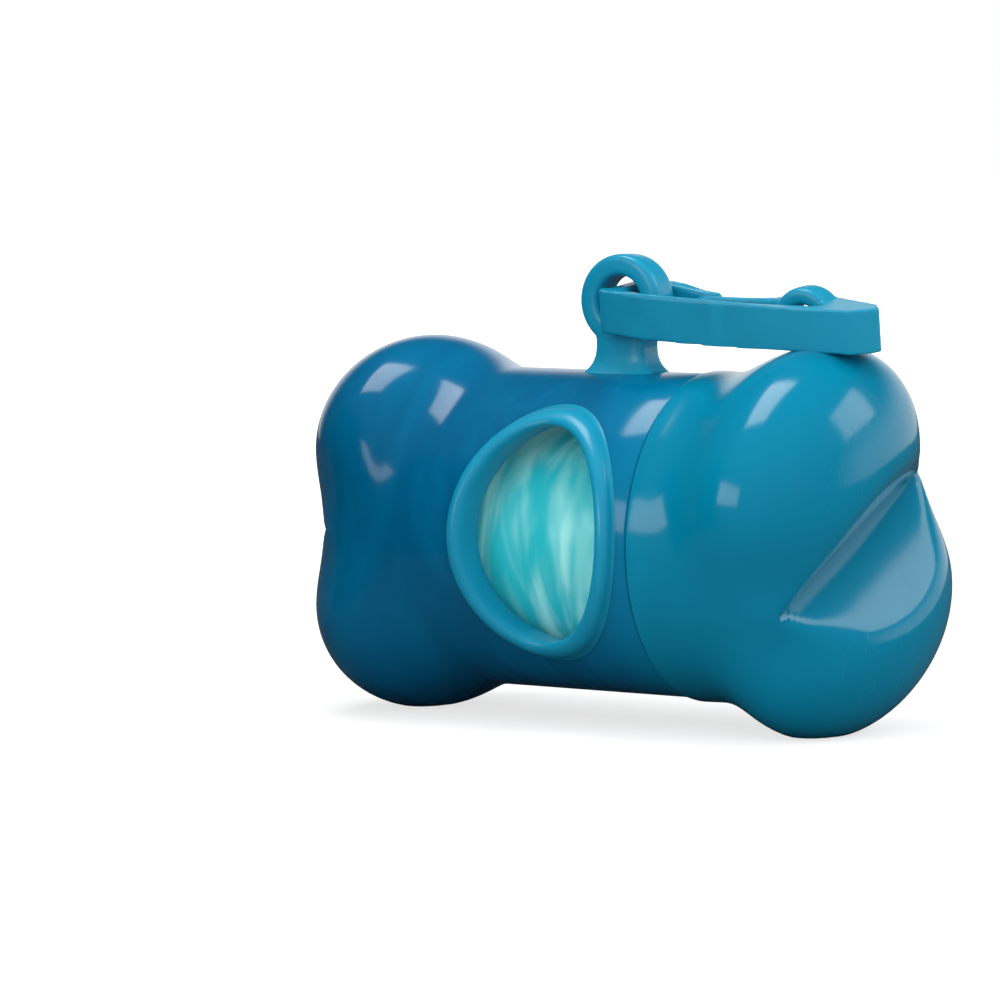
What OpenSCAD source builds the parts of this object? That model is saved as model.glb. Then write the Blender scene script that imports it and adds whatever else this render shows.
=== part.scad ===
// Bone-shaped dispenser for dog waste bags: a body with a window and a lug, a cap that
// twists and pulls off, a snap clip in the lug's ring, and a roll of bags on a core.
// +X points at the cap, -Y at the window and +Z at the lug. The origin is under the
// middle of the bone, at the level that it rests on.

/* [Bone] */
// Outer radius of the barrel
barrel_r = 20; // [19.6:0.1:20.4]
// Distance of a lobe's centre from mid-length
lobe_x = 28.9; // [28:0.1:30]
// Distance of a lobe's centre from the axis
lobe_z = 9.84; // [9.4:0.02:10.4]
// Half length of a lobe along the bone
lobe_rx = 11.43; // [11:0.01:12]
// Half depth of a lobe, front to back
lobe_ry = 19.76; // [19.4:0.02:20]
// Half height of a lobe
lobe_rz = 13.91; // [13.4:0.01:14.4]
// Distance of an end face from mid-length
end_x = 35.47; // [35:0.01:36]
// Corner radius round an end face
end_round = 7.66; // [7:0.02:8.4]
// Blend radius where a lobe leaves the barrel
neck_blend = 4.58; // [3:0.02:6]
// Blend radius where a lobe meets the end face
end_blend = 2.42; // [1.6:0.02:3.2]
// Blend radius between the two lobes of an end
cleft_blend = 2.03; // [1.4:0.01:3]
// Wall thickness of the lobes
wall = 1.6; // [1.4:0.1:2]
// Height of the axis over the two small flats the bone rests on
rest_h = 23.5; // [23.3:0.1:23.7]

/* [End groove] */
// Distance of the groove's bottom from mid-length
groove_x = 32.3; // [32:0.1:33.5]
// Rise of the groove's flanks along the bone for each millimetre across it
groove_slope = 1.1; // [0.9:0.05:1.4]
// Half length of the straight part of the groove
groove_half = 8; // [6:0.5:9]
// Radius of the run-out at the groove's two ends
groove_end = 6; // [5:0.5:8]

/* [Neck and cap joint] */
// Position of the cap's rim along the bone
rim_x = 13.1; // [12.5:0.1:13.5]
// Outer radius of the cap's rim
sleeve_r = 20.4; // [20.3:0.05:20.6]
// Bore radius of the cap's sleeve
sleeve_bore = 18.7; // [18.6:0.05:18.75]
// Clearance between neck and sleeve
neck_gap = 0.1; // [0.05:0.01:0.15]
// End of the neck along the bone
neck_end = 22; // [21:0.5:22]
// Bore radius of the barrel and neck, where the roll lies
bore_r = 17; // [16.8:0.1:17.2]
// Turn of the cap about the bone's axis from its locked position
cap_turn = 25; // [20:1:25]
// Width of each bayonet stud on the neck
stud_w = 3; // [2:0.5:4]
// Length of each bayonet stud along the bone
stud_l = 2; // [1.5:0.5:2.5]
// Height of each bayonet stud over the neck
stud_h = 0.8; // [0.6:0.1:0.9]
// Clearance round a stud in its channel
stud_gap = 0.3; // [0.2:0.05:0.4]

/* [Window] */
// Position of the window's centre along the bone
window_x = -0.6; // [-1.5:0.1:0.5]
// Height of the window's centre
window_z = 0.7; // [0:0.1:1]
// Half width of the window
window_a = 9.6; // [9:0.1:10]
// Half height of the window
window_b = 13.1; // [12.5:0.1:13.5]
// Width of the raised rim round the window
bead_w = 2.3; // [2:0.1:2.6]
// Radius from the bone's axis to the crest of the rim
bead_r = 21.7; // [21.3:0.1:22]

/* [Lug] */
// Position of the lug along the bone
lug_x = 0.5; // [-2:0.5:2]
// Height of the ring's centre
lug_z = 28.8; // [28.4:0.1:29.2]
// Outer radius of the ring
lug_r = 5.75; // [5.5:0.05:6]
// Radius of the ring's hole
lug_hole = 3; // [2.95:0.05:3.1]
// Thickness of the ring and its pedestal
lug_t = 4.6; // [4.2:0.1:4.8]
// Width of the pedestal at its waist
waist_w = 7; // [6:0.5:8]
// Width of the pedestal at the barrel
foot_w = 9.8; // [9:0.2:11]

/* [Clip] */
// Backward tilt of the clip about the bone's direction
clip_tilt = 7; // [6:0.5:8]
// Length of the front band
band_l = 39.2; // [38:0.1:40]
// Height of the front band
band_h = 5.4; // [5.2:0.1:5.5]
// Thickness of the front band
band_t = 2; // [1.8:0.1:2]
// Thickness of the hook where it passes through the lug
hook_w = 2.7; // [2.4:0.1:2.7]
// Outer radius of the clip's eye
eye_r = 4.2; // [4:0.1:4.4]
// Radius of the hole in the clip's eye
eye_hole = 2; // [1.9:0.05:2.1]
// Depth of the clip's eye
eye_t = 4; // [3.6:0.1:4.2]
// Distance of the eye from the lug along the bone
eye_x = 24.8; // [24.4:0.1:25.2]
// Distance of the gate's root from the lug along the bone
gate_x = 19.6; // [19.2:0.1:19.8]
// Thickness of the gate
gate_t = 1.4; // [1.2:0.1:1.5]
// Length of the gate from its root to its free end
gate_l = 11.2; // [10.5:0.1:11.4]

/* [Roll of bags] */
// Number of bags on the roll
bag_count = 15; // [15:1:15]
// Length of the roll
roll_l = 58; // [54:0.5:58]
// Outer radius of the roll
roll_r = 15.3; // [14.5:0.1:15.4]
// Outer radius of the core tube
core_r = 7; // [6.5:0.1:7.5]
// Wall thickness of the core tube
core_wall = 0.8; // [0.6:0.1:1]
// Drop of the roll's axis below the bone's axis
roll_drop = 1.4; // [1:0.1:1.5]

/* [Hidden] */
function two_digits(n) = str(n < 10 ? "0" : "", n);
bag_names = [for (n = [1:bag_count]) str("bag_", two_digits(n))];

arc_fn = 96;
neck_r = sleeve_bore - neck_gap;
// The lobes are meshed from this plane outwards, and the barrel between them is a cylinder
join_x = 15.4;
cavity_x = 22;
rim_gap = 0.1;
// Lobe mesh: steps from the tip to the joining plane, and steps in a quarter turn
outer_rings = 20;
outer_quarter = 13;
inner_rings = 12;
inner_quarter = 8;
bead_steps = 44;
bead_sides = 8;
bead_sink = 0.9;
stud_x = 16.5;
lock_turn = 25;
groove_lip = 0.8;
over = 1;
bag_gap = 0.02;
bag_pitch = (roll_r - core_r) / bag_count;
lug_round = 1.1;
clip_low = -4.5;
hook_low = -2.3;
hook_top = 1.85;
gate_low = -3.2;
gate_top = 0.75;
gate_v = 2.5;
gate_pin = 1.1;
pin_gap = 0.08;

body_colour = [0.04, 0.42, 0.57];
cap_colour = [0.09, 0.49, 0.61];
clip_colour = [0.12, 0.58, 0.68];
core_colour = [0.1, 0.1, 0.11];
bag_colour = [0.25, 0.71, 0.75];

// Signed distance helpers: all are negative inside the shape
function clamp01(t) = max(0, min(1, t));
function smooth_step(t) = clamp01(t) * clamp01(t) * (3 - 2 * clamp01(t));
function smooth_min(a, b, k) = min(a, b) - pow(max(k - abs(a - b), 0) / k, 2) * k / 4;
function smooth_max(a, b, k) = -smooth_min(-a, -b, k);
function ellipsoid(p, c, r) =
    let (q = p - c,
        k0 = norm([q.x / r.x, q.y / r.y, q.z / r.z]),
        k1 = norm([q.x / pow(r.x, 2), q.y / pow(r.y, 2), q.z / pow(r.z, 2)]))
    k0 * (k0 - 1) / max(k1, 1e-6);
function round_bar(p, r) =
    let (dx = abs(p.x) - (end_x - end_round),
        dr = norm([p.y, p.z]) - (r - end_round))
    min(max(dx, dr), 0) + norm([max(dx, 0), max(dr, 0)]) - end_round;
function groove_floor(s) =
    let (d = clamp01((abs(s) - groove_half) / groove_end))
    groove_x + groove_end * (1 - sqrt(1 - d * d));
// One end of the bone, pointing along +X with its lobes above and below the axis
function bone_end(p, swell) =
    let (bar = round_bar(p, barrel_r + swell * (1 - smooth_step((p.x - rim_x) / 11))),
        high = ellipsoid(p, [lobe_x, 0, lobe_z], [lobe_rx, lobe_ry, lobe_rz]),
        low = ellipsoid(p, [lobe_x, 0, -lobe_z], [lobe_rx, lobe_ry, lobe_rz]),
        lobes = smooth_min(high, low, cleft_blend),
        k = neck_blend + (end_blend - neck_blend) * smooth_step((p.x - 24) / 8),
        solid = smooth_min(bar, lobes, k),
        cut = (p.x - groove_floor(p.y) - groove_slope * abs(p.z)) / norm([1, groove_slope]))
    smooth_max(solid, cut, groove_lip);

// Radius at which the ray from the origin point along dir reaches the given level
function reach(from, dir, level, swell, lo, hi, n) =
    n == 0 ? (lo + hi) / 2 :
    let (mid = (lo + hi) / 2)
    bone_end(from + dir * mid, swell) < level
        ? reach(from, dir, level, swell, mid, hi, n - 1)
        : reach(from, dir, level, swell, lo, mid, n - 1);
// Directions are closer together next to the groove, where the quarter turn starts
function quarter_angle(i, n) = 90 * pow(i / n, 1.35);
function fold(j, n) =
    let (m = j % (4 * n))
    m <= n ? quarter_angle(m, n) :
    m <= 2 * n ? 180 - quarter_angle(2 * n - m, n) :
    m <= 3 * n ? 180 + quarter_angle(m - 2 * n, n) : 360 - quarter_angle(4 * n - m, n);
function folded_index(j, n) =
    let (m = j % (2 * n))
    m <= n ? m : 2 * n - m;

// Closed solid of one end of the bone from a plane at x0 outwards, at a given level
module end_solid(x0, level, swell, rings, n) {
    from = [x0, 0, 0];
    quarter = [for (i = [1:rings]) [for (j = [0:n])
        let (a = 90 * i / rings, t = quarter_angle(j, n),
            dir = [cos(a), sin(a) * cos(t), sin(a) * sin(t)])
        reach(from, dir, level, swell, 8, 34, 15)]];
    tip = reach(from, [1, 0, 0], level, swell, 4, 34, 15);
    count = 4 * n;
    points = concat([[x0 + tip, 0, 0]],
        [for (i = [1:rings]) for (j = [0:count - 1])
            let (a = 90 * i / rings, t = fold(j, n), r = quarter[i - 1][folded_index(j, n)])
            [x0 + r * cos(a), r * sin(a) * cos(t), r * sin(a) * sin(t)]]);
    at = function (i, j) 1 + (i - 1) * count + j % count;
    faces = concat(
        [for (j = [0:count - 1]) [0, at(1, j + 1), at(1, j)]],
        [for (i = [1:rings - 1]) for (j = [0:count - 1]) each [
            [at(i, j), at(i, j + 1), at(i + 1, j + 1)],
            [at(i, j), at(i + 1, j + 1), at(i + 1, j)]]],
        [[for (j = [0:count - 1]) at(rings, j)]]);
    polyhedron(points, faces);
}

module along_x(r, x0, x1) {
    translate([x0, 0, 0])
        rotate([0, 90, 0])
            cylinder(h = x1 - x0, r = r, $fn = arc_fn);
}

// Stands a piece that is drawn about the bone's axis on its rest flats
module stand() {
    translate([0, 0, rest_h])
        children();
}

// Everything below the plane of the rest flats
module under_floor() {
    translate([-50, -30, -rest_h - 20])
        cube([100, 60, 20]);
}

// Polygon points with every corner rounded to its own radius
function arc_points(p, c, r, steps) =
    let (u = (p[0] - c) / norm(p[0] - c), v = (p[1] - c) / norm(p[1] - c),
        half = acos(max(-1, min(1, u * v))) / 2,
        reach_len = r / tan(half),
        mid = c + (u + v) / norm(u + v) * r / sin(half),
        a = c + u * reach_len - mid,
        b = c + v * reach_len - mid,
        turn = 180 - 2 * half,
        side = sign(a.x * b.y - a.y * b.x))
    [for (i = [0:steps])
        let (t = side * turn * i / steps)
        mid + [a.x * cos(t) - a.y * sin(t), a.x * sin(t) + a.y * cos(t)]];
function rounded(points, radii, steps = 6) =
    let (n = len(points))
    [for (i = [0:n - 1])
        each radii[i] <= 0 ? [points[i]]
            : arc_points([points[(i + n - 1) % n], points[(i + 1) % n]], points[i], radii[i], steps)];

// Rounded rim that follows the window's outline on the barrel
module window_bead() {
    mid_a = window_a + bead_w / 2;
    mid_b = window_b + bead_w / 2;
    low_r = barrel_r - bead_sink;
    rise = bead_r - low_r;
    rings = [for (i = [0:bead_steps - 1])
        let (t = 360 * i / bead_steps,
            away = [cos(t) / mid_a, sin(t) / mid_b],
            out = away / norm(away))
        [for (k = [0:bead_sides - 1])
            let (s = 180 * k / (bead_sides - 1),
                x = mid_a * cos(t) + out.x * cos(s) * bead_w / 2,
                z = mid_b * sin(t) + out.y * cos(s) * bead_w / 2 + window_z,
                r = low_r + rise * sin(s))
            [window_x + x, -sqrt(r * r - z * z), z]]];
    points = [for (ring = rings) each ring];
    at = function (i, k) (i % bead_steps) * bead_sides + k % bead_sides;
    faces = [for (i = [0:bead_steps - 1]) for (k = [0:bead_sides - 1]) each [
        [at(i, k), at(i + 1, k + 1), at(i + 1, k)],
        [at(i, k), at(i, k + 1), at(i + 1, k + 1)]]];
    polyhedron(points, faces);
}

module window_hole() {
    translate([window_x, -10, window_z])
        rotate([90, 0, 0])
            linear_extrude(14)
                polygon([for (i = [0:47]) [window_a * cos(7.5 * i), window_b * sin(7.5 * i)]]);
}

module lug() {
    half = lug_t / 2;
    translate([lug_x, 0, lug_z])
        rotate([90, 0, 0])
            rotate_extrude($fn = 64)
                polygon(rounded([[lug_hole, -half], [lug_r, -half], [lug_r, half], [lug_hole, half]],
                    [1, 1, 1, 1] * lug_round, 5));
    low = barrel_r - 1.6;
    foot = foot_w / 2;
    waist = waist_w / 2;
    translate([lug_x, half, 0])
        rotate([90, 0, 0])
            linear_extrude(lug_t)
                polygon(rounded(
                    [[-foot - 1, low], [foot + 1, low], [foot, barrel_r - 0.2], [waist, barrel_r + 1.6],
                        [waist, lug_z - 4.2], [-waist, lug_z - 4.2], [-waist, barrel_r + 1.6],
                        [-foot, barrel_r - 0.2]],
                    [0, 0, 0, 1.4, 0, 0, 1.4, 0]));
}

// One bayonet stud at angle 0, or its space in the sleeve with some clearance
module stud(gap, x0, x1, turn0, turn1) {
    width = 2 * asin((stud_w / 2 + gap) / neck_r);
    translate([x0, 0, 0])
        rotate([0, 90, 0])
            rotate([0, 0, turn0 - width / 2])
                rotate_extrude(angle = turn1 - turn0 + width, $fn = arc_fn)
                    translate([neck_r - 0.4, 0])
                        square([stud_h + 0.4 + gap / 2, x1 - x0]);
}

module body_shell() {
    color(body_colour)
        stand() difference() {
            union() {
                mirror([1, 0, 0])
                    end_solid(join_x, 0, 0, outer_rings, outer_quarter);
                along_x(barrel_r, -join_x, rim_x - rim_gap);
                along_x(neck_r, rim_x - rim_gap, neck_end);
                window_bead();
                lug();
                for (half_turn = [0, 180])
                    stud(0, stud_x, stud_x + stud_l, half_turn, half_turn);
            }
            along_x(bore_r, -cavity_x, neck_end + over);
            mirror([1, 0, 0])
                end_solid(cavity_x, -wall, 0, inner_rings, inner_quarter);
            window_hole();
            under_floor();
        }
}

module cap() {
    color(cap_colour)
        stand() difference() {
            rotate([cap_turn, 0, 0]) {
                difference() {
                    union() {
                        end_solid(join_x, 0, sleeve_r - barrel_r, outer_rings, outer_quarter);
                        along_x(sleeve_r, rim_x, join_x);
                    }
                    end_solid(cavity_x, -wall, 0, inner_rings, inner_quarter);
                }
            }
            along_x(sleeve_bore, rim_x - over, cavity_x + 0.2);
            for (half_turn = [0, 180]) {
                stud(stud_gap, rim_x - over, stud_x + stud_l + stud_gap, half_turn, half_turn);
                stud(stud_gap, stud_x - stud_gap, stud_x + stud_l + stud_gap, half_turn,
                    half_turn + lock_turn);
            }
            under_floor();
        }
}

// Puts clip parts in place: x along the bone, y to the back and z up, from the lug's hole
module clip_frame() {
    translate([lug_x, 0, lug_z + rest_h])
        rotate([clip_tilt, 0, 0])
            children();
}

function band_low(x) = clip_low + 0.95 * pow(max(0, 1 - x / 19), 2);

module clip_hook() {
    band_x0 = -1.3;
    band_x1 = band_x0 + band_l;
    steps = 8;
    color(clip_colour)
        clip_frame()
            difference() {
                union() {
                    band(band_x0, band_x1 - 3, steps);
                    hook();
                    nose(band_x1);
                    gate_root();
                    translate([eye_x, 0.1, clip_low + 2.75])
                        rotate([-90, 0, 0])
                            cylinder(h = eye_t, r = eye_r, $fn = 64);
                }
                translate([eye_x, -1, clip_low + 2.75])
                    rotate([-90, 0, 0])
                        cylinder(h = eye_t + 2, r = eye_hole, $fn = 64);
                gate_socket();
                translate([0, -10, clip_low - 10])
                    cube([60, 30, 10]);
            }
}

module band(x0, x1, steps) {
    xs = [for (i = [0:steps]) x0 + 1.5 + (x1 - x0 - 1.5) * i / steps];
    translate([0, -3, 0])
        rotate([90, 0, 0])
            linear_extrude(band_t)
                polygon(concat(
                    [[x0, band_low(x0) + 0.8], [x0 + 0.3, band_low(x0) + 0.15]],
                    [for (x = xs) [x, band_low(x)]],
                    [for (i = [steps:-1:0]) [xs[i], band_low(xs[i]) + band_h]],
                    [[x0 + 0.3, band_low(x0) + band_h - 0.15], [x0, band_low(x0) + band_h - 0.8]]));
}

module hook() {
    half = hook_w / 2;
    translate([0, 0, hook_low])
        linear_extrude(hook_top - hook_low)
            polygon(rounded(
                [[-half, -4.9], [half, -4.9], [half, 3.2], [5.5, 3.4], [11.2, 3.45], [11.2, 4.6], [5.5, 5.7],
                    [-half, 5.4]],
                [0, 0, 0.6, 0, 0.5, 0.5, 3, 2.2]));
}

module nose(x1) {
    translate([0, 0, clip_low])
        linear_extrude(band_h)
            polygon(rounded(
                [[29.2, -4.9], [x1, -4.95], [x1, -1.8], [x1 - 1.6, 0.6], [28, 4.1], [27, 4.1], [27, 1.2],
                    [30, -2.9]],
                [0, 2.8, 0.8, 1.5, 0, 0, 0, 1.2]));
}

module gate_root() {
    translate([0, 0, gate_low])
        linear_extrude(gate_top - gate_low)
            polygon([[gate_x, gate_v - 1.5], [gate_x + 3, 0.4], [gate_x + 3, 4.1],
                [gate_x, gate_v + 1.5]]);
}

// Space for the gate's knuckle, in its root and in the edge of the eye beside it
module gate_socket() {
    translate([gate_x, gate_v, gate_low - over])
        cylinder(h = gate_top - gate_low + 2 * over, r = gate_pin + pin_gap, $fn = 48);
}

module clip_gate() {
    half = gate_t / 2;
    color(clip_colour)
        clip_frame()
            translate([gate_x, gate_v, gate_low + 0.1]) {
                linear_extrude(gate_top - gate_low - 0.2)
                    polygon(rounded([[-gate_l, -half], [0.3, -half], [0.3, half], [-gate_l, half]],
                        [0.5, 0, 0, 0.5]));
                cylinder(h = gate_top - gate_low - 0.2, r = gate_pin, $fn = 48);
            }
}

module tube(r0, r1) {
    translate([-roll_l / 2, 0, rest_h - roll_drop])
        rotate([0, 90, 0])
            difference() {
                cylinder(h = roll_l, r = r1, $fn = arc_fn);
                translate([0, 0, -over])
                    cylinder(h = roll_l + 2 * over, r = r0, $fn = arc_fn);
            }
}

module roll_core() {
    color(core_colour)
        tube(core_r - core_wall, core_r - bag_gap);
}

// Bag 1 is the outermost, the first to be pulled off
module bag(n) {
    outer = roll_r - (n - 1) * bag_pitch;
    color(bag_colour)
        tube(outer - bag_pitch + bag_gap, outer);
}

body_shell();
cap();
clip_hook();
clip_gate();
roll_core();
for (n = [1:bag_count])
    bag(n);
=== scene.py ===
import math
import bmesh
import bpy
import numpy as np
from mathutils import Matrix, Vector, noise


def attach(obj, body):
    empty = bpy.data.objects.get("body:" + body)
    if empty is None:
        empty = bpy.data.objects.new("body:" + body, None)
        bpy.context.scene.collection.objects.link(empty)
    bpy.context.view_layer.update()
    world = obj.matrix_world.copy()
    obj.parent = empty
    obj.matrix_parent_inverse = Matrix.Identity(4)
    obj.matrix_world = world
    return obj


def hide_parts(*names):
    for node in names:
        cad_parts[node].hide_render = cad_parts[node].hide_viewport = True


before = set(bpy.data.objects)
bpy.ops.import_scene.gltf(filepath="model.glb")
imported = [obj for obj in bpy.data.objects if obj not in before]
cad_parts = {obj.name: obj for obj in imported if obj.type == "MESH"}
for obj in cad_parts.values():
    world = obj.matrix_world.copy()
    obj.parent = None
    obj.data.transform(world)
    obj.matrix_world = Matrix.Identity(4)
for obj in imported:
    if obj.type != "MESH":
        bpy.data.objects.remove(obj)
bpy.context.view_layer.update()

MM = 0.001


# The camera stands low and to the right of the window, as for a catalogue picture.
# It looks along the floor with a long lens, so the bone hardly narrows with distance.
camera_azimuth = math.radians(33.97)
camera_elevation = math.radians(4.35)
camera_distance = 0.662
camera_aim = Vector((-0.01556, -0.00438, 0.0270))
camera_lens = 190.18

toward_camera = Vector((
    math.sin(camera_azimuth) * math.cos(camera_elevation),
    -math.cos(camera_azimuth) * math.cos(camera_elevation),
    math.sin(camera_elevation),
))
camera_data = bpy.data.cameras.new("camera")
camera_data.lens = camera_lens
camera_data.sensor_width = 36
camera_data.clip_start = 0.01
camera = bpy.data.objects.new("camera", camera_data)
camera.location = camera_aim + toward_camera * camera_distance
camera.rotation_euler = toward_camera.to_track_quat("Z", "Y").to_euler()
bpy.context.scene.collection.objects.link(camera)
bpy.context.scene.camera = camera


# The body is one injection moulding in slightly see-through petrol plastic: two round lobes,
# a barrel with a hole to pull bags through, and a thinner neck that the cap slides over.
# Its wall is thin, and thickest in the rim round the hole and in the lug on top.
axis_height = 23.5
barrel_radius = 20.0
lobe_centre = (28.9, 9.84)
lobe_half = (11.43, 19.76, 13.91)
end_face = 35.47
end_corner = 7.66
lobe_plane = 15.4
hollow_plane = 22.0
lobe_wall = 1.6
groove_bottom = 31.8
groove_rise = 1.2
groove_bow = 0.03
groove_half_length = 14.0
groove_runout = 8.0
groove_lip = 0.8
seam_blend = 2.03
waist_blends = (4.58, 2.42)
search_reach = (4.0, 36.0)
search_steps = 26
cap_rim = 13.1
bore_radius = 17.0
neck_radius = 18.6
neck_tip = 22.0
foot_softness = 0.3
body_segments = 224
body_rings = 112
hollow_rings = 56


def smooth_step(t):
    t = np.clip(t, 0, 1)
    return t * t * (3 - 2 * t)


def smooth_min(a, b, k):
    return np.minimum(a, b) - (np.maximum(k - np.abs(a - b), 0) / k) ** 2 * k / 4


def lobe_distance(p, height):
    """Signed distance, in mm, to one egg-shaped lobe at that height over the bone's axis."""
    q = p - np.array([lobe_centre[0], 0, height])
    half = np.array(lobe_half)
    k0 = np.linalg.norm(q / half, axis=-1)
    k1 = np.linalg.norm(q / half ** 2, axis=-1)
    return k0 * (k0 - 1) / np.maximum(k1, 1e-6)


def bone_distance(p, swell):
    """Signed distance, in mm, to an end of the bone that points along +X: a round bar with two
    lobes blended on, and a groove pressed into its end face, whose walls bulge like the lobes."""
    radius = barrel_radius + swell * (1 - smooth_step((p[..., 0] - cap_rim) / 11))
    dx = np.abs(p[..., 0]) - (end_face - end_corner)
    dr = np.hypot(p[..., 1], p[..., 2]) - (radius - end_corner)
    bar = np.minimum(np.maximum(dx, dr), 0) - end_corner
    bar = bar + np.hypot(np.maximum(dx, 0), np.maximum(dr, 0))
    lobes = smooth_min(lobe_distance(p, lobe_centre[1]), lobe_distance(p, -lobe_centre[1]), seam_blend)
    blend = waist_blends[0] + (waist_blends[1] - waist_blends[0]) * smooth_step((p[..., 0] - 24) / 8)
    solid = smooth_min(bar, lobes, blend)
    along = np.clip((np.abs(p[..., 1]) - groove_half_length) / groove_runout, 0, 1)
    floor = groove_bottom + groove_runout * (1 - np.sqrt(1 - along ** 2))
    side = np.minimum(np.abs(p[..., 2]), groove_rise / (3 * groove_bow))
    cut = (p[..., 0] - floor - groove_rise * side + groove_bow * side ** 2) / math.hypot(1, groove_rise)
    return -smooth_min(-solid, -cut, groove_lip)


def vertices_of(piece):
    flat = np.empty(len(piece.data.vertices) * 3)
    piece.data.vertices.foreach_get("co", flat)
    return flat.reshape(-1, 3)


def move_vertices(piece, points):
    piece.data.vertices.foreach_set("co", np.asarray(points, float).ravel())
    piece.data.update()


def only(piece):
    """Object mode, with just this piece selected."""
    if bpy.context.object is not None and bpy.context.object.mode != "OBJECT":
        bpy.ops.object.mode_set(mode="OBJECT")
    bpy.ops.object.select_all(action="DESELECT")
    piece.select_set(True)
    bpy.context.view_layer.objects.active = piece


def face_outwards(piece):
    only(piece)
    bpy.ops.object.mode_set(mode="EDIT")
    bpy.ops.mesh.select_all(action="SELECT")
    bpy.ops.mesh.normals_make_consistent(inside=False)
    bpy.ops.object.mode_set(mode="OBJECT")


def rounded_end(name, plane, wall, swell, segments, rings):
    """Half a ball, drawn out ray by ray to the bone's form, or to its inner wall."""
    bpy.ops.object.select_all(action="DESELECT")
    bpy.ops.mesh.primitive_uv_sphere_add(
        segments=segments, ring_count=rings, radius=20 * MM, location=(plane * MM, 0, 0),
        rotation=(0, math.pi / 2, 0),
    )
    end = bpy.context.object
    end.name = name
    bpy.ops.object.transform_apply(location=True, rotation=True, scale=True)
    bpy.ops.object.mode_set(mode="EDIT")
    bpy.ops.mesh.select_all(action="SELECT")
    bpy.ops.mesh.bisect(plane_co=(plane * MM, 0, 0), plane_no=(1, 0, 0), clear_inner=True)
    bpy.ops.object.mode_set(mode="OBJECT")
    centre = np.array([plane, 0, 0])
    ray = vertices_of(end) / MM - centre
    ray = ray / np.linalg.norm(ray, axis=1)[:, None]
    near = np.full(len(ray), search_reach[0])
    far = np.full(len(ray), search_reach[1])
    for _ in range(search_steps):
        middle = (near + far) / 2
        inside = bone_distance(centre + ray * middle[:, None], swell) < -wall
        near = np.where(inside, middle, near)
        far = np.where(inside, far, middle)
    move_vertices(end, (centre + ray * near[:, None]) * MM)
    return end


def draw_rim(piece, stations):
    """Extrudes a shell's open edge through circles at the stations, each (x, radius) in mm."""
    only(piece)
    bpy.ops.object.mode_set(mode="EDIT")
    bpy.ops.mesh.select_mode(type="VERT")
    bpy.ops.mesh.select_all(action="DESELECT")
    bpy.ops.mesh.select_non_manifold()
    for x, radius in stations:
        bpy.ops.mesh.extrude_region_move()
        mesh = bmesh.from_edit_mesh(piece.data)
        for v in mesh.verts:
            if v.select:
                v.co = Vector((0, v.co.y, v.co.z)).normalized() * radius * MM
                v.co.x = x * MM
        bmesh.update_edit_mesh(piece.data)
    bpy.ops.object.mode_set(mode="OBJECT")


def join_to(piece, *others):
    only(piece)
    for other in others:
        other.select_set(True)
    bpy.ops.object.join()


def close_between(piece):
    """Bridges the two open edges of a piece and turns every face outwards."""
    only(piece)
    bpy.ops.object.mode_set(mode="EDIT")
    bpy.ops.mesh.select_mode(type="EDGE")
    bpy.ops.mesh.select_all(action="DESELECT")
    bpy.ops.mesh.select_non_manifold()
    bpy.ops.mesh.bridge_edge_loops()
    bpy.ops.object.mode_set(mode="OBJECT")
    face_outwards(piece)


def rest_on_floor(points):
    """Lifts what would reach under the floor: the lobes have small flats where they stand."""
    height = points[:, 2] / MM
    bend = np.maximum(foot_softness - np.abs(height), 0) ** 2 / (4 * foot_softness)
    return np.column_stack([points[:, :2], (np.maximum(height, 0) + bend) * MM])


def cut_with(piece, tool):
    only(piece)
    cutter = piece.modifiers.new("cut", "BOOLEAN")
    cutter.operation = "DIFFERENCE"
    cutter.solver = "EXACT"
    cutter.object = tool
    bpy.ops.object.modifier_apply(modifier=cutter.name)
    bpy.data.objects.remove(tool)


def smooth_faces(piece, degrees):
    only(piece)
    bpy.ops.object.shade_smooth_by_angle(angle=math.radians(degrees))


body = rounded_end("body_moulding", lobe_plane, 0, 0, body_segments, body_rings)
draw_rim(body, [
    (10, barrel_radius), (4, barrel_radius), (-2, barrel_radius), (-8, barrel_radius),
    (-cap_rim + 0.45, barrel_radius), (-cap_rim + 0.2, barrel_radius - 0.08),
    (-cap_rim + 0.1, barrel_radius - 0.3), (-cap_rim + 0.1, neck_radius + 0.2),
    (-cap_rim - 0.1, neck_radius), (-neck_tip + 0.4, neck_radius),
    (-neck_tip, neck_radius - 0.4), (-neck_tip, bore_radius + 0.4),
    (-neck_tip + 0.4, bore_radius), (-cap_rim, bore_radius), (-5, bore_radius), (3, bore_radius),
    (11, bore_radius), (hollow_plane - 0.4, bore_radius),
    (hollow_plane, bore_radius + 0.3),
])
body_hollow = rounded_end("body_hollow", hollow_plane, lobe_wall, 0, body_segments, hollow_rings)
join_to(body, body_hollow)
move_vertices(body, rest_on_floor(vertices_of(body) * [-1, 1, 1] + [0, 0, axis_height * MM]))
close_between(body)

# The hole's rim: a bead that stands out of the barrel, steep inside and outside, so that
# fingertips slide in. It is cast with the barrel; its paler colour is painted, standing in for light
# scattered in the thick plastic.
window_centre = (-0.6, 0.7)
window_half = (9.6, 13.1)
window_margin = 0.9
rim_profile = [
    (0.35, 16.95), (0.08, 17.15), (0.0, 17.5), (0.0, 18.4), (0.0, 19.4), (0.03, 20.2), (0.14, 20.75),
    (0.36, 21.16), (0.7, 21.44), (1.1, 21.56), (1.5, 21.52), (1.84, 21.34), (2.08, 21.06), (2.2, 20.72),
    (2.26, 20.4), (2.36, 20.15), (2.6, 19.98), (2.9, 19.88), (2.3, 19.3), (1.9, 18.4), (1.6, 17.4),
    (1.2, 16.95),
]
rim_steps = 160
window_tool_depth = 20
window_tool_middle = -16

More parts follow.
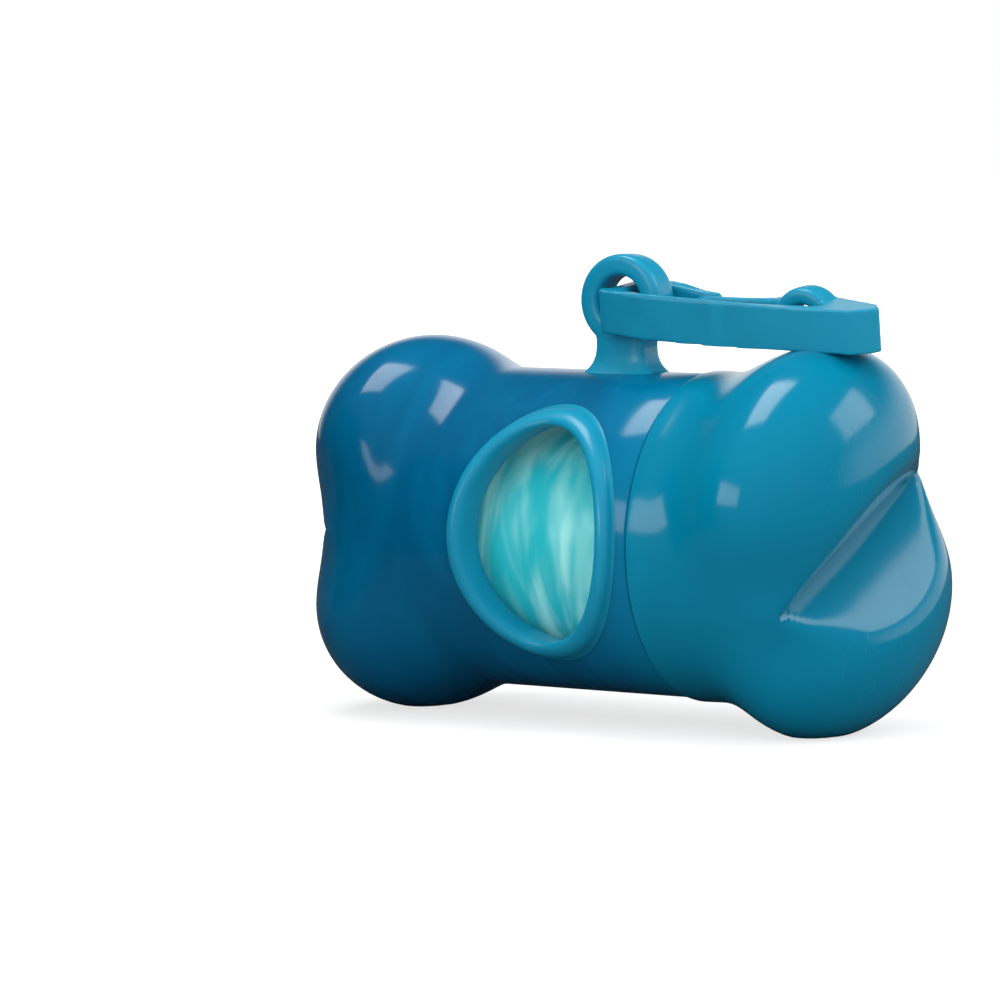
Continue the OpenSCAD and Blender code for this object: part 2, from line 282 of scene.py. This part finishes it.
bpy.ops.object.select_all(action="DESELECT")
bpy.ops.mesh.primitive_cylinder_add(
    vertices=rim_steps, radius=1, depth=window_tool_depth * MM, rotation=(math.pi / 2, 0, 0),
    location=(window_centre[0] * MM, window_tool_middle * MM, (window_centre[1] + axis_height) * MM),
)
window_tool = bpy.context.object
window_tool.scale = ((window_half[0] + window_margin) * MM, (window_half[1] + window_margin) * MM, 1)
bpy.ops.object.transform_apply(location=True, rotation=True, scale=True)
cut_with(body, window_tool)


def shaped_ring(name, sections):
    """A torus whose cross-sections are set one by one to the list's closed outlines."""
    bpy.ops.object.select_all(action="DESELECT")
    bpy.ops.mesh.primitive_torus_add(
        major_segments=len(sections), minor_segments=len(sections[0]), major_radius=10 * MM,
        minor_radius=2 * MM,
    )
    ring = bpy.context.object
    ring.name = name
    move_vertices(ring, [tuple(point) for section in sections for point in section])
    face_outwards(ring)
    return ring


def rim_section(turn):
    """The rim's profile at one place on the window's oval, in metres."""
    away = Vector((math.cos(turn) / window_half[0], 0, math.sin(turn) / window_half[1])).normalized()
    section = []
    for offset, radius in rim_profile:
        x = window_half[0] * math.cos(turn) + away.x * offset
        z = window_half[1] * math.sin(turn) + away.z * offset + window_centre[1]
        y = -math.sqrt(max(radius ** 2 - z ** 2, 1))
        section.append(Vector((window_centre[0] + x, y, z + axis_height)) * MM)
    return section


rim = shaped_ring("window_rim", [rim_section(2 * math.pi * i / rim_steps) for i in range(rim_steps)])

# The lug: a thick ring on a waisted foot, for the clip, with soft corners all over
lug_place = (0.5, 28.8)
ring_middle = 4.375
ring_half = (1.375, 2.3)
ring_steps = 96
ring_skin = 0.2
ring_passes = 5
foot_sections = [
    (17.9, 6.0, 4.2), (19.2, 5.7, 3.8), (19.75, 5.1, 3.2), (20.3, 4.5, 2.75), (21.0, 4.0, 2.45),
    (21.9, 3.65, 2.3), (22.9, 3.5, 2.28), (23.8, 3.5, 2.28), (24.8, 3.7, 2.25), (25.8, 4.1, 2.2),
]


def soft_box(steps, half_u, half_v, power):
    """Points of a rounded box outline, between an ellipse (2) and a rectangle (many)."""
    outline = []
    for k in range(steps):
        t = 2 * math.pi * (k + 0.5) / steps
        c, s = math.cos(t), math.sin(t)
        outline.append((
            half_u * math.copysign(abs(c) ** (2 / power), c),
            half_v * math.copysign(abs(s) ** (2 / power), s),
        ))
    return outline


def lug_ring_section(turn):
    out = Vector((math.cos(turn), 0, math.sin(turn)))
    middle = Vector((lug_place[0], 0, lug_place[1] + axis_height))
    return [
        (middle + out * (ring_middle + u) + Vector((0, v, 0))) * MM
        for u, v in soft_box(32, ring_half[0], ring_half[1], 4.5)
    ]


def drawn_solid(name, sections):
    """A flat face extruded again and again, each time set to the next outline of the list."""
    sides = len(sections[0])
    bpy.ops.object.select_all(action="DESELECT")
    bpy.ops.mesh.primitive_circle_add(vertices=sides, radius=5 * MM, fill_type="NGON")
    solid = bpy.context.object
    solid.name = name
    move_vertices(solid, [tuple(point) for point in sections[0]])
    bpy.ops.object.mode_set(mode="EDIT")
    bpy.ops.mesh.select_all(action="SELECT")
    for before, after in zip(sections, sections[1:]):
        bpy.ops.mesh.extrude_region_move()
        mesh = bmesh.from_edit_mesh(solid.data)
        raised = [v for v in mesh.verts if v.select]
        places = [min(range(sides), key=lambda k: (v.co - before[k]).length_squared) for v in raised]
        for v, k in zip(raised, places):
            v.co = after[k]
        bmesh.update_edit_mesh(solid.data)
    bpy.ops.object.mode_set(mode="OBJECT")
    face_outwards(solid)
    return solid


def fuse(piece, voxel_mm, passes):
    """Melts joined solids into one skin and softens its corners, as a mould leaves them."""
    only(piece)
    skin = piece.modifiers.new("skin", "REMESH")
    skin.mode = "VOXEL"
    skin.voxel_size = voxel_mm * MM
    bpy.ops.object.modifier_apply(modifier=skin.name)
    soften = piece.modifiers.new("soften", "SMOOTH")
    soften.factor = 0.5
    soften.iterations = passes
    bpy.ops.object.modifier_apply(modifier=soften.name)


lug = shaped_ring("lug", [lug_ring_section(2 * math.pi * i / ring_steps) for i in range(ring_steps)])
lug_foot = drawn_solid("lug_foot", [
    [Vector((lug_place[0] + u, v, z + axis_height)) * MM for u, v in soft_box(48, half_u, half_v, 6)]
    for z, half_u, half_v in foot_sections
])
join_to(lug, lug_foot)
fuse(lug, ring_skin, ring_passes)

# Two bayonet studs on the neck, which lock the cap when it is turned
stud_size = (2.0, 3.0, 0.8)
stud_middle = 17.5
stud_root = 0.6


def neck_stud(side):
    bpy.ops.object.select_all(action="DESELECT")
    bpy.ops.mesh.primitive_cube_add(size=1)
    stud = bpy.context.object
    stud.scale = (stud_size[0] * MM, stud_size[1] * MM, (stud_size[2] + stud_root) * MM)
    height = neck_radius + (stud_size[2] - stud_root) / 2
    stud.location = (stud_middle * MM, 0, (axis_height + side * height) * MM)
    bpy.ops.object.transform_apply(location=True, rotation=True, scale=True)
    edge = stud.modifiers.new("edge", "BEVEL")
    edge.width = 0.25 * MM
    edge.segments = 3
    bpy.ops.object.modifier_apply(modifier=edge.name)
    return stud


studs = [neck_stud(side) for side in (-1, 1)]


def linear(code):
    """Linear colour from an sRGB hex code."""
    parts = [int(code[i:i + 2], 16) / 255 for i in (1, 3, 5)]
    return tuple(p / 12.92 if p <= 0.04045 else ((p + 0.055) / 1.055) ** 2.4 for p in parts) + (1,)


def add_node(tree, kind, settings=None, inputs=None):
    """Adds a node, sets it up, and links or fills its inputs."""
    made = tree.nodes.new("ShaderNode" + kind)
    for name, value in (settings or {}).items():
        setattr(made, name, value)
    for name, value in (inputs or {}).items():
        if isinstance(value, bpy.types.NodeSocket):
            tree.links.new(value, made.inputs[name])
        else:
            made.inputs[name].default_value = value
    return made


def new_material(name):
    material = bpy.data.materials.new(name)
    material.use_nodes = True
    material.node_tree.nodes.clear()
    return material, material.node_tree


def moulded_plastic(name, deep, pale, edge, painted_glow_from, painted_glow_to, roughness, swirl_mm):
    """Injection-moulded polypropylene, coloured through. To the eye: a wet gloss with a hint of
    orange peel, two near tones where the melt has flowed, light that sinks a little way in, a
    paler tone blended in from one X to another (in mm), which is painted glow standing in for
    light through the thin wall, and rub marks on the bone's ends."""
    material, tree = new_material(name)
    place = add_node(tree, "TexCoord").outputs["Object"]
    stretch = add_node(tree, "Mapping", inputs={"Vector": place, "Scale": (1.0, 0.45, 0.45)})
    flow = add_node(tree, "TexNoise", inputs={
        "Vector": stretch.outputs[0], "Scale": 1 / (swirl_mm * MM), "Detail": 3, "Distortion": 1.5,
    })
    spread = add_node(tree, "MapRange", inputs={
        "Value": flow.outputs["Fac"], "From Min": 0.35, "From Max": 0.68,
    })
    tone = add_node(tree, "Mix", {"data_type": "RGBA"}, {
        0: spread.outputs[0], 6: linear(deep), 7: linear(pale),
    })
    parts = add_node(tree, "SeparateXYZ", inputs={0: place})
    # Painted glow: between the two X values the colour blends into the edge tone, standing in for light
    # shining through the thin wall.
    painted_glow_blend = add_node(tree, "MapRange", {"interpolation_type": "SMOOTHSTEP"}, {
        "Value": parts.outputs["X"], "From Min": painted_glow_from * MM, "From Max": painted_glow_to * MM,
    })
    colour = add_node(tree, "Mix", {"data_type": "RGBA"}, {
        0: painted_glow_blend.outputs[0], 6: tone.outputs[2], 7: linear(edge),
    })
    peel = add_node(tree, "TexNoise", inputs={"Vector": place, "Scale": 1 / (2.2 * MM), "Detail": 2})
    dent = add_node(tree, "Bump", inputs={
        "Strength": 0.3, "Distance": 0.02 * MM, "Height": peel.outputs["Fac"],
    })
    lean = add_node(tree, "Mapping", inputs={
        "Vector": place, "Rotation": (math.radians(-25), 0, 0), "Scale": (0.12, 1.0, 0.08),
    })
    rub = add_node(tree, "TexNoise", inputs={
        "Vector": lean.outputs[0], "Scale": 1 / (0.3 * MM), "Detail": 2,
    })
    line = add_node(tree, "MapRange", inputs={
        "Value": rub.outputs["Fac"], "From Min": 0.62, "From Max": 0.72,
    })
    reach = add_node(tree, "Math", {"operation": "ABSOLUTE"}, {0: parts.outputs["X"]})
    worn = add_node(tree, "MapRange", inputs={
        "Value": reach.outputs[0], "From Min": 34 * MM, "From Max": 38 * MM,
    })
    scratch = add_node(tree, "Math", {"operation": "MULTIPLY"}, {0: line.outputs[0], 1: worn.outputs[0]})
    dull = add_node(tree, "MapRange", inputs={
        "Value": scratch.outputs[0], "To Min": roughness, "To Max": roughness + 0.2,
    })
    skin = add_node(tree, "BsdfPrincipled", inputs={
        "Base Color": colour.outputs[2], "Roughness": dull.outputs[0], "Normal": dent.outputs[0],
        "IOR": 1.49, "Subsurface Weight": 0.12, "Subsurface Radius": (0.2, 1.0, 1.2),
        "Subsurface Scale": 1.2 * MM,
    })
    add_node(tree, "OutputMaterial", inputs={"Surface": skin.outputs[0]})
    return material


# The body's third colour, blended in towards the cap's rim from X 2 to 14 mm, is painted glow of light
# through the thin wall.
petrol = moulded_plastic(
    "moulded_petrol_polypropylene", "#005C86", "#006D98", "#00759C", 2, 14, 0.13, 14)
# The rim and the lug are the body's own plastic, painted paler to stand in for light scattered in their
# thickness.
rim_teal_painted_paler = moulded_plastic(
    "moulded_rim_polypropylene_painted_paler", "#0A8CB0", "#1597BA", "#1597BA", 0, 40, 0.24, 10)
for part in (body, rim, lug, *studs):
    part.data.materials.clear()
    part.data.materials.append(rim_teal_painted_paler if part in (rim, lug) else petrol)
smooth_faces(rim, 40)
smooth_faces(body, 35)
smooth_faces(lug, 60)
join_to(body, rim, lug, *studs)
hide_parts("body_shell")
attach(body, "body")


# The cap is the bone's other end, a thin moulding with a sleeve over the neck and two channels
# in it for the neck's studs. It stands turned to where it pulls off, so its lobes lean to the front.
cap_turn = math.radians(25)
sleeve_radius = 20.4
sleeve_bore = 18.7
channel_half_width = 1.8
channel_heights = (18.2, 19.55)
channel_steps = 12

cap = rounded_end("cap_moulding", lobe_plane, 0, sleeve_radius - barrel_radius, body_segments, body_rings)
draw_rim(cap, [
    (cap_rim + 0.6, sleeve_radius), (cap_rim + 0.25, sleeve_radius - 0.06),
    (cap_rim, sleeve_radius - 0.35), (cap_rim, sleeve_bore + 0.25), (cap_rim + 0.2, sleeve_bore),
    (lobe_plane, sleeve_bore), (hollow_plane, sleeve_bore), (hollow_plane + 0.1, sleeve_bore - 0.2),
])
cap_hollow = rounded_end("cap_hollow", hollow_plane, lobe_wall, 0, body_segments, hollow_rings)
join_to(cap, cap_hollow)
turned = vertices_of(cap) @ np.array(Matrix.Rotation(cap_turn, 3, "X")).T
move_vertices(cap, rest_on_floor(turned + [0, 0, axis_height * MM]))
close_between(cap)


def channel(x_from, x_to, middle, sweep):
    """A tool for one channel: a flat face across the sleeve's wall, spun round the bone's axis."""
    half = math.asin(channel_half_width / neck_radius)
    bpy.ops.object.select_all(action="DESELECT")
    bpy.ops.mesh.primitive_plane_add(size=1)
    tool = bpy.context.object
    start = Matrix.Rotation(middle - half, 3, "X")
    centre = Vector((0, 0, axis_height * MM))
    low, high = channel_heights
    corners = [(x_from, low), (x_to, low), (x_from, high), (x_to, high)]
    move_vertices(tool, [tuple(centre + start @ Vector((x, 0, r)) * MM) for x, r in corners])
    bpy.ops.object.mode_set(mode="EDIT")
    bpy.ops.mesh.select_all(action="SELECT")
    bpy.ops.mesh.spin(steps=channel_steps, angle=-(sweep + 2 * half), center=centre, axis=(1, 0, 0))
    bpy.ops.object.mode_set(mode="OBJECT")
    face_outwards(tool)
    return tool


for side in (0, math.pi):
    cut_with(cap, channel(cap_rim - 1, stud_middle + 1.3, side, 0))
    cut_with(cap, channel(stud_middle - 1.3, stud_middle + 1.3, side, cap_turn))
smooth_faces(cap, 35)
cap.data.materials.clear()
# The cap's third colour, blended in from X 14 to 18 mm, is painted glow of light through the thin wall.
cap.data.materials.append(moulded_plastic(
    "moulded_teal_polypropylene", "#007898", "#0384A6", "#007C9D", 14, 18, 0.14, 16))
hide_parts("cap")
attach(cap, "cap")


# The clip is a flat snap hook in soft plastic, moulded in one. Its front band runs into a thick
# nose beside an eye, and its other end turns back through the lug's ring as a hook.
clip_lean = math.radians(7)
clip_origin = Vector((0.5, 0, 28.8 + axis_height))
clip_low = -4.5
band_height = 5.4
band_front = -5.0
band_back = -3.0
band_left = -1.35
nose_right = 36.9
clip_sag = 0.021
hook_heights = (-2.3, 1.85)
eye_place = (24.8, 2.1, -1.75)
eye_middle = 3.1
eye_half = (1.1, 2.0)
eye_steps = 72
root_heights = (-3.2, 0.75)
hook_drop = 1.2
clip_edge = 0.45
clip_skin = 0.19
clip_passes = 4
arc_step = 0.35
side_step = 1.4


def clip_point(along, back, up):
    """A point of the clip, given from the lug's hole along, behind and above, in metres."""
    leaned = Matrix.Rotation(clip_lean, 3, "X") @ Vector((along, back, up - clip_sag * max(0, along)))
    return (clip_origin + leaned) * MM


def rounded_outline(corners):
    """Corner points, each (x, y, radius), as a closed outline with arcs and evenly split sides."""
    arcs = []
    count = len(corners)
    for i, (x, y, radius) in enumerate(corners):
        here = Vector((x, y))
        before = (Vector(corners[i - 1][:2]) - here).normalized()
        after = (Vector(corners[(i + 1) % count][:2]) - here).normalized()
        if radius == 0:
            arcs.append([here])
            continue
        half = before.angle(after) / 2
        start = here + before * radius / math.tan(half)
        end = here + after * radius / math.tan(half)
        middle = here + (before + after).normalized() * radius / math.sin(half)
        steps = max(3, round(radius * (math.pi - 2 * half) / arc_step))
        arc = []
        for k in range(steps + 1):
            point = start.lerp(end, k / steps) - middle
            arc.append(middle + point.normalized() * radius)
        arcs.append(arc)
    outline = []
    for i, arc in enumerate(arcs):
        outline += arc
        gap = arcs[(i + 1) % count][0] - arc[-1]
        parts = int(gap.length / side_step)
        outline += [arc[-1] + gap * k / parts for k in range(1, parts)]
    return outline


def band_floor(along):
    return clip_low + 0.95 * max(0, 1 - along / 19) ** 2


def hook_top(along):
    """The hook thins towards its tip, where the gate meets it."""
    return hook_heights[1] - hook_drop * smooth_step((along - 2) / 9)


def clip_plate(name, corners, floor, top):
    """A plate of the clip with this outline in plan, its edges rounded off."""
    outline = rounded_outline(corners)
    plate = drawn_solid(name, [
        [clip_point(p.x, p.y, floor(p.x)) for p in outline],
        [clip_point(p.x, p.y, top(p.x)) for p in outline],
    ])
    only(plate)
    edge = plate.modifiers.new("edge", "BEVEL")
    edge.width = clip_edge * MM
    edge.segments = 3
    edge.limit_method = "ANGLE"
    edge.angle_limit = math.radians(60)
    bpy.ops.object.modifier_apply(modifier=edge.name)
    return plate


clip = clip_plate("clip_moulding", [
    (band_left, band_back, 0), (band_left, band_front, 1.0), (nose_right, band_front, 3.4),
    (nose_right, -1.8, 0.8), (nose_right - 1.6, 0.6, 1.5), (28, 4.1, 0), (27, 4.1, 0), (27, 1.2, 0),
    (30, band_back, 1.2),
], band_floor, lambda along: band_floor(along) + band_height)
hook = clip_plate("clip_hook_strand", [
    (-1.35, -4.4, 0), (1.35, -4.4, 0), (1.35, 3.2, 0.6), (5.5, 3.4, 0), (11.2, 3.5, 0.45),
    (11.2, 4.55, 0.45), (5.5, 5.7, 3), (-1.35, 5.4, 2.2),
], lambda along: hook_heights[0], hook_top)
root = clip_plate("clip_gate_root", [
    (19.6, 1.2, 0.5), (23, 0.6, 0), (23, 4.1, 0), (19.6, 3.8, 0.5),
], lambda along: root_heights[0], lambda along: root_heights[1])


def eye_section(turn):
    section = []
    for u, v in soft_box(24, eye_half[0], eye_half[1], 3.6):
        reach = eye_middle + u
        up = max(eye_place[2] + reach * math.sin(turn), clip_low + 0.02)
        section.append(clip_point(eye_place[0] + reach * math.cos(turn), eye_place[1] + v, up))
    return section


eye = shaped_ring("clip_eye", [eye_section(2 * math.pi * i / eye_steps) for i in range(eye_steps)])
join_to(clip, hook, root, eye)
fuse(clip, clip_skin, clip_passes)
smooth_faces(clip, 60)
clip_teal = moulded_plastic(
    "moulded_clip_polypropylene", "#0684A6", "#1092B4", "#1092B4", 0, 40, 0.28, 9)
clip.data.materials.clear()
clip.data.materials.append(clip_teal)
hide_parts("clip_hook")
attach(clip, "clip")

# The gate is the clip's springy strand: it bends in to let a strap past, and springs back
# against the hook's tip.
gate_skin = 0.17
gate_passes = 3
gate_stations = [
    (19.9, 2.5, -3.1, 0.65, 2.0), (19.2, 2.5, -3.1, 0.65, 1.9), (18.2, 2.5, -3.05, 0.6, 1.6),
    (16.6, 2.5, -3.0, 0.55, 1.4), (14.8, 2.5, -3.0, 0.5, 1.4), (13.0, 2.5, -3.0, 0.5, 1.4),
    (11.2, 2.5, -3.0, 0.5, 1.4), (9.6, 2.5, -2.95, 0.45, 1.35), (8.7, 2.5, -2.7, 0.25, 1.0),
]
gate = drawn_solid("gate_strand", [
    [clip_point(along, back + u, (low + top) / 2 + v)
        for u, v in soft_box(28, thick / 2, (top - low) / 2, 6)]
    for along, back, low, top, thick in gate_stations
])
fuse(gate, gate_skin, gate_passes)
smooth_faces(gate, 60)
gate.data.materials.clear()
gate.data.materials.append(clip_teal)
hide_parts("clip_gate")
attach(gate, "gate")


# The roll: fifteen bags of thin film, folded lengthwise, joined end to end and wound on a tube.
# The outer bag shows through the window, drawn tight but rumpled into long soft folds.
roll_axis = axis_height - 1.4
film_radius = 15.28
film_inside = 14.78
roll_half = 29.0
film_around = 256
film_along = 200
fold_depth = 0.3
fold_size = (3.4, 11.0)


def fold(x, turn):
    """Depth of the film's folds at a place on the roll, from 0 to 1."""
    reach = film_radius / fold_size[1]
    place = Vector((x / fold_size[0], reach * math.cos(turn), reach * math.sin(turn)))
    broad = noise.noise(place + Vector((5, 2, 9)))
    fine = noise.noise(place * 2.3 + Vector((1, 7, 3)))
    return min(1, max(0, 0.5 + 0.55 * broad + 0.3 * fine))


bpy.ops.object.select_all(action="DESELECT")
bpy.ops.mesh.primitive_cylinder_add(
    vertices=film_around, radius=film_radius * MM, depth=2 * roll_half * MM, end_fill_type="NOTHING",
    rotation=(0, math.pi / 2, 0), location=(0, 0, roll_axis * MM),
)
outer_bag = bpy.context.object
outer_bag.name = "outer_bag_film"
bpy.ops.object.transform_apply(location=True, rotation=True, scale=True)
bpy.ops.object.mode_set(mode="EDIT")
mesh = bmesh.from_edit_mesh(outer_bag.data)
long_edges = [e for e in mesh.edges if abs(e.verts[0].co.x - e.verts[1].co.x) > roll_half * MM]
bmesh.ops.subdivide_edges(mesh, edges=long_edges, cuts=film_along - 1, use_grid_fill=True)
bmesh.update_edit_mesh(outer_bag.data)
bpy.ops.object.mode_set(mode="OBJECT")
points = []
for x, y, z in vertices_of(outer_bag) / MM:
    turn = math.atan2(z - roll_axis, y)
    radius = film_radius - fold_depth * fold(x, turn)
    points.append((x, radius * math.cos(turn), roll_axis + radius * math.sin(turn)))
move_vertices(outer_bag, np.array(points) * MM)
only(outer_bag)
bpy.ops.object.mode_set(mode="EDIT")
bpy.ops.mesh.select_mode(type="EDGE")
bpy.ops.mesh.select_all(action="DESELECT")
bpy.ops.mesh.select_non_manifold()
bpy.ops.mesh.extrude_region_move()
mesh = bmesh.from_edit_mesh(outer_bag.data)
for v in mesh.verts:
    if v.select:
        inward = Vector((0, v.co.y, v.co.z - roll_axis * MM)).normalized() * film_inside * MM
        v.co = Vector((v.co.x, inward.y, inward.z + roll_axis * MM))
bmesh.update_edit_mesh(outer_bag.data)
bpy.ops.mesh.bridge_edge_loops()
bpy.ops.object.mode_set(mode="OBJECT")
face_outwards(outer_bag)
smooth_faces(outer_bag, 40)

film, tree = new_material("blown_polyethylene_film_painted_glow")
# Blown polyethylene film, tinted: a soft sheen over thin layers, cloudy where they lift apart, and a faint
# painted glow, an emission in its own tones that brightens it
place = add_node(tree, "TexCoord").outputs["Object"]
stretch = add_node(tree, "Mapping", inputs={"Vector": place, "Scale": (1.0, 0.3, 0.3)})
cloud = add_node(tree, "TexNoise", inputs={
    "Vector": stretch.outputs[0], "Scale": 1 / (7 * MM), "Detail": 3, "Distortion": 0.9,
})
lift = add_node(tree, "MapRange", {"interpolation_type": "SMOOTHSTEP"}, {
    "Value": cloud.outputs["Fac"], "From Min": 0.36, "From Max": 0.66,
})
tone = add_node(tree, "Mix", {"data_type": "RGBA"}, {
    0: lift.outputs[0], 6: linear("#27BCC6"), 7: linear("#A6EFEA"),
})
crease = add_node(tree, "TexNoise", inputs={
    "Vector": stretch.outputs[0], "Scale": 1 / (1.6 * MM), "Detail": 4, "Distortion": 1.2,
})
ripple = add_node(tree, "Bump", inputs={
    "Strength": 0.35, "Distance": 0.08 * MM, "Height": crease.outputs["Fac"],
})
# Painted light: the film's emission makes it glow faintly, though it is no lamp.
skin = add_node(tree, "BsdfPrincipled", inputs={
    "Base Color": tone.outputs[2], "Roughness": 0.3, "IOR": 1.5, "Normal": ripple.outputs[0],
    "Subsurface Weight": 0.3, "Subsurface Radius": (0.3, 1.0, 1.0), "Subsurface Scale": 1.5 * MM,
    "Emission Color": tone.outputs[2], "Emission Strength": 0.12,
})
add_node(tree, "OutputMaterial", inputs={"Surface": skin.outputs[0]})
outer_bag.data.materials.clear()
outer_bag.data.materials.append(film)
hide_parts("bag_01")
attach(outer_bag, "roll")
for name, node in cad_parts.items():
    if name.startswith("bag_"):
        node.data.materials.clear()
        node.data.materials.append(film)

# The tube that the bags are wound on, in black recycled plastic with a dull, speckled skin
core, tree = new_material("extruded_recycled_polyethylene")
place = add_node(tree, "TexCoord").outputs["Object"]
grain = add_node(tree, "TexNoise", inputs={"Vector": place, "Scale": 1 / (0.8 * MM), "Detail": 3})
tone = add_node(tree, "Mix", {"data_type": "RGBA"}, {
    0: grain.outputs["Fac"], 6: linear("#15161A"), 7: linear("#33363A"),
})
pit = add_node(tree, "Bump", inputs={
    "Strength": 0.4, "Distance": 0.05 * MM, "Height": grain.outputs["Fac"],
})
skin = add_node(tree, "BsdfPrincipled", inputs={
    "Base Color": tone.outputs[2], "Roughness": 0.62, "Normal": pit.outputs[0],
})
add_node(tree, "OutputMaterial", inputs={"Surface": skin.outputs[0]})
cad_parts["roll_core"].data.materials.clear()
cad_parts["roll_core"].data.materials.append(core)


# The studio light: a large softbox overhead and to the left, a long dimmer one in front of the
# window, and a small one behind the cap, which draws the bright leaf in the cap's groove.
def softbox(name, azimuth, elevation, distance, width, height, radiance):
    """A rectangular softbox that faces the object. Radiance is what its face shows."""
    lamp = bpy.data.lights.new(name, "AREA")
    lamp.shape = "RECTANGLE"
    lamp.size = width
    lamp.size_y = height
    lamp.energy = radiance * math.pi * width * height
    holder = bpy.data.objects.new(name, lamp)
    a, e = math.radians(azimuth), math.radians(elevation)
    away = Vector((math.sin(a) * math.cos(e), -math.cos(a) * math.cos(e), math.sin(e)))
    holder.location = Vector((0, 0, 0.03)) + away * distance
    holder.rotation_euler = away.to_track_quat("Z", "Y").to_euler()
    bpy.context.scene.collection.objects.link(holder)


softbox("overhead_softbox", -92, 74, 0.9, 0.50, 0.36, 4.4)
softbox("front_softbox", -30, 14, 1.0, 0.9, 0.34, 2.2)
softbox("back_softbox", 128, 36, 0.9, 0.4, 0.34, 2.4)

# A dark card keeps the front softbox off the far lobes
bpy.ops.object.select_all(action="DESELECT")
bpy.ops.mesh.primitive_plane_add(
    size=1, rotation=(math.pi / 2, 0, math.radians(-36)), location=(-0.060, -0.057, 0.045))
card = bpy.context.object
card.name = "dark_card"
card.scale = (0.06, 0.08, 1)
card.visible_camera = False
black, tree = new_material("black_paper")
skin = add_node(tree, "BsdfDiffuse", inputs={"Color": (0.01, 0.01, 0.01, 1)})
add_node(tree, "OutputMaterial", inputs={"Surface": skin.outputs[0]})
card.data.materials.append(black)

bpy.ops.object.select_all(action="DESELECT")
bpy.ops.mesh.primitive_plane_add(size=8)
floor = bpy.context.object
floor.name = "floor"
sweep, tree = new_material("white_paper_sweep")
# The floor's own light, seen by the camera alone, makes the sweep white out to its far edge
place = add_node(tree, "TexCoord").outputs["Object"]
far = add_node(tree, "VectorMath", {"operation": "LENGTH"}, {0: place})
white = add_node(tree, "MapRange", {"interpolation_type": "SMOOTHSTEP"}, {
    "Value": far.outputs["Value"], "From Min": 0.06, "From Max": 0.5, "To Min": 0.72, "To Max": 1.0,
})
rays = add_node(tree, "LightPath")
shown = add_node(tree, "Math", {"operation": "MULTIPLY"}, {
    0: white.outputs[0], 1: rays.outputs["Is Camera Ray"],
})
# In reflections the floor shows near black, a painted dark reflection that keeps the lobes' undersides
# dark.
paper_and_painted_dark_reflection = add_node(tree, "Mix", {"data_type": "RGBA"}, {
    0: rays.outputs["Is Glossy Ray"], 6: (0.36, 0.36, 0.36, 1), 7: (0.05, 0.05, 0.05, 1),
})
paper = add_node(tree, "BsdfDiffuse", inputs={"Color": paper_and_painted_dark_reflection.outputs[2]})
glow = add_node(tree, "Emission", inputs={"Strength": shown.outputs[0]})
both = add_node(tree, "AddShader", inputs={0: paper.outputs[0], 1: glow.outputs[0]})
add_node(tree, "OutputMaterial", inputs={"Surface": both.outputs[0]})
floor.data.materials.append(sweep)

# The studio is dim but for a white backdrop low behind the object and soft fill from the front right
world = bpy.data.worlds.new("studio")
bpy.context.scene.world = world
world.use_nodes = True
tree = world.node_tree
tree.nodes.clear()
way = add_node(tree, "TexCoord").outputs["Generated"]
parts = add_node(tree, "SeparateXYZ", inputs={0: way})
behind = add_node(tree, "MapRange", {"interpolation_type": "SMOOTHSTEP"}, {
    "Value": parts.outputs["Y"], "From Min": 0.25, "From Max": 0.6,
})
height = add_node(tree, "Math", {"operation": "ABSOLUTE"}, {0: parts.outputs["Z"]})
low = add_node(tree, "MapRange", {"interpolation_type": "SMOOTHSTEP"}, {
    "Value": height.outputs[0], "From Min": 0.2, "From Max": 0.5, "To Min": 1.0, "To Max": 0.0,
})
backdrop = add_node(tree, "Math", {"operation": "MULTIPLY"}, {0: behind.outputs[0], 1: low.outputs[0]})
mirrored = add_node(tree, "MapRange", inputs={
    "Value": backdrop.outputs[0], "To Min": 0.03, "To Max": 0.9,
})
toward_fill = add_node(tree, "VectorMath", {"operation": "DOT_PRODUCT"}, {0: way, 1: (0.45, -0.55, 0.7)})
fill = add_node(tree, "MapRange", {"interpolation_type": "SMOOTHSTEP"}, {
    "Value": toward_fill.outputs["Value"], "From Min": -0.6, "From Max": 0.9, "To Min": 0.1, "To Max": 1.5,
})
rays = add_node(tree, "LightPath")
seen = add_node(tree, "Mix", inputs={
    0: rays.outputs["Is Glossy Ray"], 2: fill.outputs[0], 3: mirrored.outputs[0],
})
strength = add_node(tree, "Mix", inputs={0: rays.outputs["Is Camera Ray"], 2: seen.outputs[0], 3: 1.0})
sky = add_node(tree, "Background", inputs={"Color": (1, 1, 1, 1), "Strength": strength.outputs[0]})
add_node(tree, "OutputWorld", inputs={"Surface": sky.outputs[0]})

bpy.context.scene.view_settings.view_transform = "Standard"
